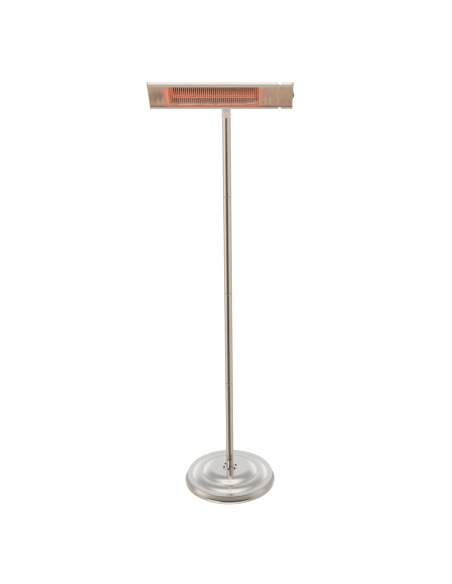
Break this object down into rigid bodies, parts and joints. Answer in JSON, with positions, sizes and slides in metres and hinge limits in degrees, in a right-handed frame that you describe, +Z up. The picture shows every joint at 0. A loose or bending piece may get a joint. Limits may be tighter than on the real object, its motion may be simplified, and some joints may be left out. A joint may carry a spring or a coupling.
{
  "type": "patio heater",
  "caption": "Free-standing electric infrared heater: a trough-shaped head with a wire guard, tilting on a sectional pole over a round stepped base.",
  "frame": {"origin": "on the floor, on the pole axis, under the middle of the base", "axes": "+Z up along the pole; the heater faces -Y; +X is to its right as seen from the front, where the control end is"},
  "size_m": [0.6331, 0.46, 2.0906],
  "materials": {
    "polished_cover": "mirror-polished stainless steel",
    "pole_steel": "bright polished steel tube",
    "joint_dark": "dark turned steel",
    "adapter_alloy": "satin",
    "concrete": "cast",
    "black_steel": "satin black powder coat",
    "black_screw": "black oxide",
    "zinc": "zinc plated",
    "rubber": "matt",
    "housing_alloy": "fine brushed, satin anodised",
    "cap_alloy": "satin",
    "fascia_mesh": "fine perforated sheet",
    "guard_wire": "bright wire, tinted by the glow",
    "galvanised": "galvanised sheet",
    "reflector_alloy": "bright rolled aluminium",
    "quartz": "clear quartz",
    "coil": "glowing element",
    "ceramic": "unglazed",
    "black_plastic": "fine textured",
    "rocker_plastic": "gloss",
    "brass": "turned",
    "washer_nylon": "nylon",
    "wire_sleeve": "glass-fibre sleeve"
  },
  "bodies": {
    "stand": {"base_cover": "polished_cover", "base_weight": "concrete", "base_bottom_plate": "black_steel", "foot_ring": "rubber", "base_plate_screws": "zinc", "foot_flange": "pole_steel", "flange_screws": "black_screw", "pole_section_1": "pole_steel", "pole_section_2": "pole_steel", "pole_section_3": "pole_steel", "pole_section_4": "pole_steel", "pole_coupling_1": "joint_dark", "pole_coupling_2": "joint_dark", "pole_coupling_3": "joint_dark", "pole_adapter": "adapter_alloy", "adapter_screws": "zinc", "pivot_bolt": "zinc", "pivot_washers": "washer_nylon"},
    "head": {"head_bracket": "black_steel", "bracket_screws": "zinc", "main_housing": "housing_alloy", "control_housing": "housing_alloy", "left_end_cap": "cap_alloy", "right_end_cap": "cap_alloy", "left_cap_screws": "zinc", "right_cap_screws": "zinc", "left_fascia": "fascia_mesh", "right_fascia": "fascia_mesh", "wire_guard": "guard_wire", "chassis_plate": "galvanised", "joining_frame": "galvanised", "control_bulkhead": "galvanised", "reflector": "reflector_alloy", "left_reflector_end": "reflector_alloy", "right_reflector_end": "reflector_alloy", "quartz_tube": "quartz", "heating_coil": "coil", "left_tube_cap": "ceramic", "right_tube_cap": "ceramic", "left_tube_holder": "galvanised", "right_tube_holder": "galvanised", "terminal_block": "ceramic", "thermal_cutout": "black_plastic", "tip_over_switch": "black_plastic", "internal_wires": "wire_sleeve", "switch_body": "black_plastic", "cord_gland": "black_plastic", "gland_nut": "black_plastic"},
    "knob": {"tilt_knob": "black_plastic", "knob_insert": "brass"},
    "rocker": {"power_rocker": "rocker_plastic"}
  },
  "joints": [
    {"name": "head_tilt", "type": "hinge", "parent": "stand", "child": "head", "pos_m": [0, 0, 2.036], "axis": [1, 0, 0], "range_deg": [-40, 3]},
    {"name": "knob_turn", "type": "hinge", "parent": "stand", "child": "knob", "pos_m": [-0.026, 0, 2.036], "axis": [1, 0, 0], "continuous": true},
    {"name": "power_rocker", "type": "hinge", "parent": "head", "child": "rocker", "pos_m": [0.288, -0.06687, 2.0197], "axis": [0, 0.766, 0.6428], "range_deg": [0, 20]}
  ]
}
